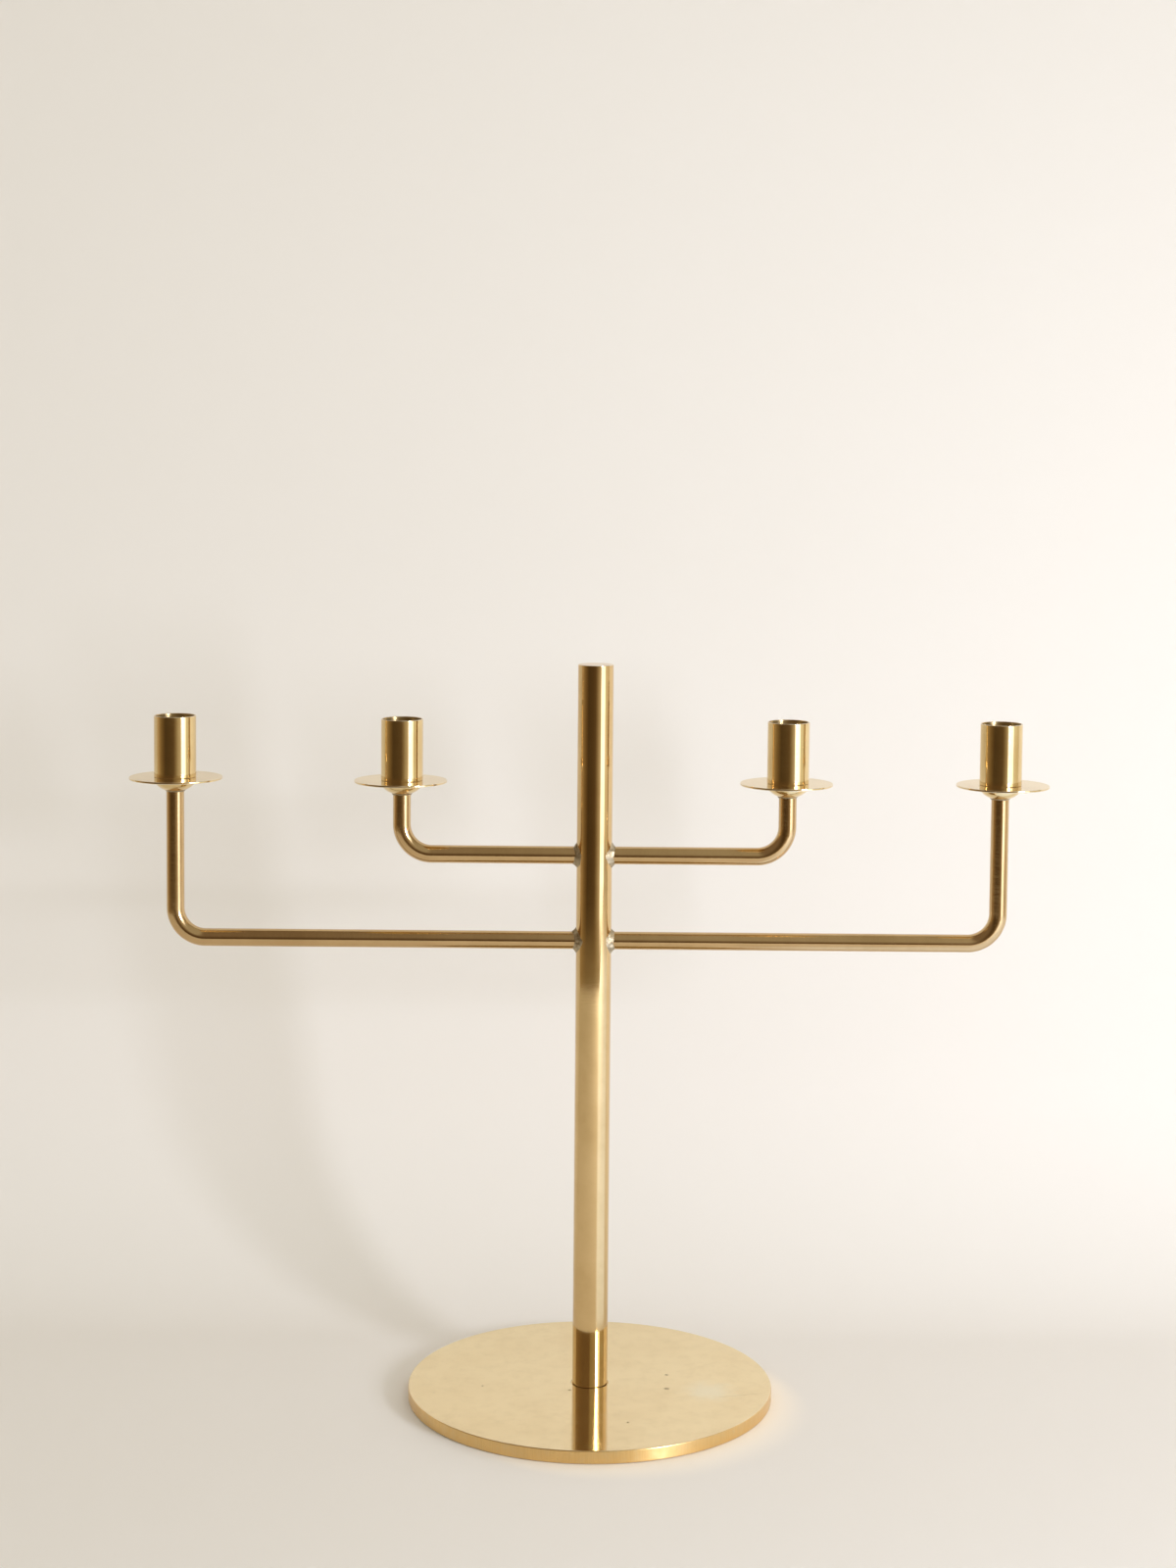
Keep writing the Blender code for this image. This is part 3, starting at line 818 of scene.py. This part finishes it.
def make_light(name, seed, arm_brass, sheet_brass, cup_brass, solder):
    """One arm and everything that stands on it."""
    side, height, rod_radius, arm_top = make_arm(name, arm_brass)
    make_arm_solder(name, side, height, rod_radius, solder, seed)
    axis = axis_of(f"{name}_candle_cup")
    plate_low, plate_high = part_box(f"{name}_drip_plate")
    make_seat_solder(name, axis, rod_radius, arm_top, solder, seed)
    make_seat(name, axis, arm_top, plate_low.z, sheet_brass)
    make_plate(name, sheet_brass)
    make_cup(name, axis, plate_high.z, cup_brass)
    cup_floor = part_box(f"{name}_candle_cup")[0].z + CUP_FLOOR
    make_screw(name, axis, cup_floor, sheet_brass)


# ---------------------------------------------------------------- studio

PAPER_COLOUR = (0.86, 0.818, 0.79)
PAPER_DROP = 0.1 * MM
SWEEP_REACH = 1.105  # from the object to the paper's near edge, which curves round it
SWEEP_LEFT = -1.12
SWEEP_RIGHT = 1.9
COVE_START = 0.095
COVE_LEAD = 0.02  # flat paper just before the cove
COVE_RADIUS = 0.15
COVE_STEPS = 24
WALL_LEAN = math.radians(13)
WALL_LENGTH = 2.4

# Painted light: lamplight that the base's rim throws onto the paper, painted into the paper's colour, and
# how far out it reaches
PAINTED_GLOW_COLOUR = (0.97, 0.90, 0.83)
PAINTED_GLOW_WIDTH = 0.028

# A painted glow on the lamp's side of the paper, emitted only to reflection rays, in place of the paper's
# sheen: over which distances it comes and goes, and over which cosines of the angle from its middle it
# comes
PAINTED_SHINE_COLOUR = (0.25, 0.42, 0.75)
SHINE_AZIMUTH = math.radians(68)
SHINE_COMES = (0.11, 0.16)
SHINE_GOES = (1.1, 1.5)
SHINE_COSINES = (0.80, 0.93)

FLOOR_COLOUR = (0.95, 0.91, 0.88)
FLOOR_SIZE = 14.0
FLOOR_DROP = 1.0 * MM
UNDER_BASE = 0.1  # radius of the part of the floor that lies hidden under the base

KEY_AZIMUTH = math.radians(43.7)
KEY_DISTANCE = 1.6
KEY_HEIGHT = 0.51
KEY_TILT = math.radians(82)
KEY_SIZE = 0.34
KEY_POWER = 15.6
KEY_COLOUR = (0.94, 1.0, 1.12)

CLOTH_AZIMUTH = math.radians(50)
CLOTH_DISTANCE = KEY_DISTANCE + 0.02
CLOTH_BOTTOM = -0.1
CLOTH_SIZE = (1.0, 1.3)
CLOTH_COLOUR = (0.94, 0.98, 1.2)
CLOTH_GLOW = 1.9


def round_the_object(azimuth, distance, height):
    """A place round the object: azimuth 0 is towards the camera, and + is to the right."""
    return (distance * math.sin(azimuth), -distance * math.cos(azimuth), height)


def one_sided(graph, front):
    """Shows a surface only from its front, so that a backdrop hides nothing from behind.

    It is clear under the base too, so that the felt has light when it is looked at from below.
    """
    geometry = graph.add("ShaderNodeNewGeometry")
    under_base = graph.math("LESS_THAN", graph.length(geometry.outputs["Position"]), UNDER_BASE)
    unseen = graph.math("MAXIMUM", geometry.outputs["Backfacing"], under_base)
    clear = graph.add("ShaderNodeBsdfTransparent").outputs[0]
    mixed = graph.add("ShaderNodeMixShader", {0: unseen, 1: front, 2: clear}).outputs[0]
    graph.link(mixed, graph.tree.nodes["Material Output"].inputs["Surface"])


def sweep_profile():
    """The paper's line of (y, z) from the flat part up through the cove and the wall."""
    profile = [(COVE_START - COVE_LEAD, 0.0), (COVE_START, 0.0)]
    for step in range(1, COVE_STEPS + 1):
        angle = (math.pi / 2 - WALL_LEAN) * step / COVE_STEPS
        y = COVE_START + COVE_RADIUS * math.sin(angle)
        profile.append((y, COVE_RADIUS * (1.0 - math.cos(angle))))
    y, z = profile[-1]
    profile.append((y + WALL_LENGTH * math.sin(WALL_LEAN), z + WALL_LENGTH * math.cos(WALL_LEAN)))
    return profile


def sweep_mesh():
    """Wall, cove and floor of one sheet. The floor's near edge is an arc round the object."""
    profile = sweep_profile()
    shape = bmesh.new()
    rows = []
    for x in (SWEEP_LEFT, SWEEP_RIGHT):
        rows.append([shape.verts.new((x, y, z)) for y, z in profile])
    left, right = rows
    for index in range(len(profile) - 1):
        shape.faces.new((left[index], right[index], right[index + 1], left[index + 1]))
    near_edge = []
    for degrees in range(-90, 50, 10):
        near_edge.append(round_the_object(math.radians(degrees), SWEEP_REACH, 0.0))
    near_edge.append((SWEEP_RIGHT, near_edge[-1][1], 0.0))
    corners = [shape.verts.new(place) for place in near_edge]
    shape.faces.new([*corners, right[0], left[0]])
    mesh = bpy.data.meshes.new("paper_sweep")
    shape.to_mesh(mesh)
    shape.free()
    mesh.shade_smooth()
    return mesh


def cream_paper():
    """Matt paper with painted light: paler where the base's rim lights it, and in the metal a painted glow
    on the lamp's side.
    """
    material, graph, shader = new_material("cream_paper")
    shader.inputs["Roughness"].default_value = 0.8
    shader.inputs["Specular IOR Level"].default_value = 0.3
    place = graph.add("ShaderNodeTexCoord").outputs["Object"]
    way = graph.add("ShaderNodeVectorMath", {0: place}, operation="NORMALIZE").outputs["Vector"]
    reach = graph.length(place)

    # Painted light: a paler band painted into the paper's colour beside the base's rim, on the lamp's side
    lampward = graph.dot(way, round_the_object(KEY_AZIMUTH, 1.0, 0.0))
    width = graph.times(graph.math("MAXIMUM", lampward, 0.05), PAINTED_GLOW_WIDTH)
    from_rim = graph.math("SUBTRACT", reach, radius_and_heights("base_plate")[0])
    painted_glow = graph.ranged(graph.math("DIVIDE", from_rim, width), 0.2, 1.1, 1.0, 0.0)
    painted_glow = graph.times(painted_glow, graph.ranged(lampward, 0.0, 0.6))
    colour = graph.mix(painted_glow, PAPER_COLOUR, PAINTED_GLOW_COLOUR)
    graph.link(colour, shader.inputs["Base Color"])

    # Painted glow: emission on the paper that only reflection rays see, so that the metal reflects a
    # brighter paper
    painted_shine = graph.times(graph.ranged(reach, *SHINE_COMES), graph.ranged(reach, *SHINE_GOES, 1.0, 0.0))
    shineward = graph.dot(way, round_the_object(SHINE_AZIMUTH, 1.0, 0.0))
    painted_shine = graph.times(painted_shine, graph.ranged(shineward, *SHINE_COSINES))
    painted_shine = graph.times(painted_shine, graph.add("ShaderNodeLightPath").outputs["Is Glossy Ray"])
    graph.link(painted_shine, shader.inputs["Emission Strength"])
    shader.inputs["Emission Color"].default_value = (*PAINTED_SHINE_COLOUR, 1.0)
    one_sided(graph, shader.outputs[0])
    return material


def paper_sweep():
    """The sheet of paper that the object stands on, with a wall behind it."""
    sweep = bpy.data.objects.new("paper_sweep", sweep_mesh())
    sweep.location.z = -PAPER_DROP
    bpy.context.scene.collection.objects.link(sweep)
    sweep.data.materials.append(cream_paper())


def studio_floor():
    """The floor round the paper, clear from below. The metal doesn't reflect it: it reflects the room."""
    bpy.ops.mesh.primitive_plane_add(size=FLOOR_SIZE, location=(0.0, 0.0, -FLOOR_DROP))
    floor = bpy.context.object
    floor.name = "studio_floor"
    floor.visible_glossy = False
    material, graph, shader = new_material("floor_paint")
    shader.inputs["Base Color"].default_value = (*FLOOR_COLOUR, 1.0)
    shader.inputs["Roughness"].default_value = 0.9
    one_sided(graph, shader.outputs[0])
    floor.data.materials.append(material)


# What the metal sees round the room: azimuth in degrees, as in round_the_object, and colour
ROOM = (
    (-180, (0.70, 0.62, 0.52)),
    (-104, (0.64, 0.54, 0.41)),
    (-88, (0.44, 0.32, 0.18)),
    (-74, (0.26, 0.18, 0.085)),
    (-60, (0.17, 0.11, 0.048)),
    (-45, (0.085, 0.054, 0.023)),
    (-20, (0.10, 0.064, 0.029)),
    (0, (0.13, 0.085, 0.040)),
    (12, (0.27, 0.20, 0.12)),
    (24, (0.50, 0.43, 0.31)),
    (66, (1.00, 0.95, 0.85)),
    (84, (0.85, 0.78, 0.62)),
    (180, (0.70, 0.62, 0.52)),
)
CEILING_LEFT = (0.25, 0.19, 0.13)
CEILING_RIGHT = (0.50, 0.47, 0.38)
CEILING_SIDES = (-0.12, 0.08)  # X of a ray's direction, between the two ceilings
CEILING_HEIGHTS = (0.0, 0.5)  # Z of a ray's direction, between the walls and the ceiling
NEAR_FLOOR = (0.36, 0.28, 0.16)
NEAR_FLOOR_HEIGHTS = (-0.18, -0.205)  # Z of a ray's direction, between the walls and the near floor
NEAR_FLOOR_SHARE = 0.65
FILL_COLOUR = (1.0, 0.96, 0.80)
FILL_STRENGTH = 0.665
BACKGROUND = (0.78, 0.73, 0.65)


def room_colour(graph):
    """The dim warm room that the metal reflects."""
    direction = graph.add("ShaderNodeTexCoord").outputs["Generated"]
    parts = graph.add("ShaderNodeSeparateXYZ", {0: direction})
    forward = graph.times(parts.outputs["Y"], -1.0)
    azimuth = graph.math("ARCTAN2", parts.outputs["X"], forward)
    share = graph.ranged(azimuth, -math.pi, math.pi)
    share.node.interpolation_type = "LINEAR"
    ramp = graph.add("ShaderNodeValToRGB", {0: share})
    elements = ramp.color_ramp.elements
    elements.remove(elements[-1])
    for index, (degrees, colour) in enumerate(ROOM):
        position = (degrees + 180) / 360
        element = elements[0] if index == 0 else elements.new(position)
        element.position = position
        element.color = (*colour, 1.0)
    downward = graph.ranged(parts.outputs["Z"], *NEAR_FLOOR_HEIGHTS, 0.0, NEAR_FLOOR_SHARE)
    room = graph.mix(downward, ramp.outputs["Color"], NEAR_FLOOR)
    ceiling = graph.mix(graph.ranged(parts.outputs["X"], *CEILING_SIDES), CEILING_LEFT, CEILING_RIGHT)
    return graph.mix(graph.ranged(parts.outputs["Z"], *CEILING_HEIGHTS), room, ceiling)


def studio_world():
    """Pale to the camera, even light for the paper, and the room for the metal to reflect."""
    world = bpy.data.worlds.new("studio")
    bpy.context.scene.world = world
    world.use_nodes = True
    world.node_tree.nodes.clear()
    graph = Graph(world.node_tree)
    path = graph.add("ShaderNodeLightPath")
    fill = graph.add("ShaderNodeBackground", {"Color": (*FILL_COLOUR, 1.0), "Strength": FILL_STRENGTH})
    seen = graph.add("ShaderNodeBackground", {"Color": (*BACKGROUND, 1.0), "Strength": 1.0})
    reflected = graph.add("ShaderNodeBackground", {"Color": room_colour(graph), "Strength": 1.0})
    glossy = path.outputs["Is Glossy Ray"]
    camera_ray = path.outputs["Is Camera Ray"]
    mixed = graph.add("ShaderNodeMixShader", {0: glossy, 1: fill.outputs[0], 2: reflected.outputs[0]})
    mixed = graph.add("ShaderNodeMixShader", {0: camera_ray, 1: mixed.outputs[0], 2: seen.outputs[0]})
    output = graph.add("ShaderNodeOutputWorld")
    graph.link(mixed.outputs[0], output.inputs["Surface"])


def key_light():
    """The lamp at the front right that casts the shadows."""
    data = bpy.data.lights.new("key", "AREA")
    data.size = KEY_SIZE
    data.energy = KEY_POWER
    data.color = KEY_COLOUR
    lamp = bpy.data.objects.new("key", data)
    bpy.context.scene.collection.objects.link(lamp)
    lamp.location = round_the_object(KEY_AZIMUTH, KEY_DISTANCE, KEY_HEIGHT)
    lamp.rotation_euler = (KEY_TILT, 0.0, KEY_AZIMUTH)
    lamp.visible_camera = False


def softbox_cloth():
    """The softbox's wide cloth round the lamp: the pale upright stripe that the brass reflects."""
    bpy.ops.mesh.primitive_plane_add(size=1.0)
    cloth = bpy.context.object
    cloth.name = "softbox_cloth"
    cloth.location = round_the_object(CLOTH_AZIMUTH, CLOTH_DISTANCE, CLOTH_SIZE[1] / 2 + CLOTH_BOTTOM)
    cloth.rotation_euler = (-math.pi / 2, 0.0, CLOTH_AZIMUTH)
    cloth.scale = (*CLOTH_SIZE, 1.0)
    cloth.visible_camera = False
    cloth.visible_diffuse = False
    material, graph, shader = new_material("lit_cloth")
    graph.tree.nodes.remove(shader)
    place = graph.add("ShaderNodeTexCoord").outputs["Generated"]
    parts = graph.add("ShaderNodeSeparateXYZ", {0: place})
    across = graph.math("ABSOLUTE", graph.math("SUBTRACT", parts.outputs["X"], 0.5))
    above = graph.math("ABSOLUTE", graph.math("SUBTRACT", parts.outputs["Y"], 0.5))
    side_fade = graph.ranged(across, 0.30, 0.5, 1.0, 0.0)
    end_fade = graph.ranged(above, 0.42, 0.5, 1.0, 0.0)
    strength = graph.times(graph.times(side_fade, end_fade), CLOTH_GLOW)
    light = graph.add("ShaderNodeEmission", {"Color": (*CLOTH_COLOUR, 1.0), "Strength": strength})
    clear = graph.add("ShaderNodeBsdfTransparent").outputs[0]
    one_sided(graph, graph.add("ShaderNodeAddShader", {0: light.outputs[0], 1: clear}).outputs[0])
    cloth.data.materials.append(material)


CAMERA_PLACE = (-0.0047, -1.5044, 0.5589)
CAMERA_PITCH = math.radians(4.34)
CAMERA_ROLL = math.radians(0.49)
CAMERA_LENS = 61.9
CAMERA_SHIFT_Y = -0.105


def add_camera():
    """The photo's camera."""
    data = bpy.data.cameras.new("camera")
    data.lens = CAMERA_LENS
    data.shift_y = CAMERA_SHIFT_Y
    camera = bpy.data.objects.new("camera", data)
    bpy.context.scene.collection.objects.link(camera)
    pitch = Matrix.Rotation(math.pi / 2 - CAMERA_PITCH, 4, "X")
    roll = Matrix.Rotation(CAMERA_ROLL, 4, "Z")
    camera.matrix_world = Matrix.Translation(CAMERA_PLACE) @ pitch @ roll
    bpy.context.scene.camera = camera


# ---------------------------------------------------------------- putting it together

base_brass = brass("base_brass", (0.87, 0.72, 0.43), (0.66, 0.46, 0.20), 0.20, 0.09, 0.13, 0.00002)
mark_base(base_brass)
rod_brass = brass("rod_brass", (0.72, 0.52, 0.26), (0.50, 0.32, 0.12), 0.45, 0.03, 0.05, 0.00003)
arm_brass = brass("arm_brass", (0.63, 0.44, 0.225), (0.43, 0.27, 0.11), 0.45, 0.08, 0.13, 0.00003)
sheet_brass = brass("sheet_brass", (0.80, 0.63, 0.34), (0.56, 0.37, 0.15), 0.35, 0.08, 0.12, 0.00004)
cup_brass = brass("cup_brass", (0.78, 0.60, 0.31), (0.54, 0.35, 0.14), 0.35, 0.06, 0.10, 0.00003)
dull_inside(cup_brass, radius_and_heights(f"{LIGHTS[0]}_candle_cup")[0] - CUP_WALL)
solder = solder_metal()

make_base_plate(base_brass)
make_felt(felt_cloth())
make_bolt(steel_metal())
make_column(rod_brass)
for index, light_name in enumerate(LIGHTS):
    make_light(light_name, SEED_STEP * (index + 1), arm_brass, sheet_brass, cup_brass, solder)

paper_sweep()
studio_floor()
studio_world()
key_light()
softbox_cloth()
add_camera()
bpy.context.scene.view_settings.view_transform = "Standard"
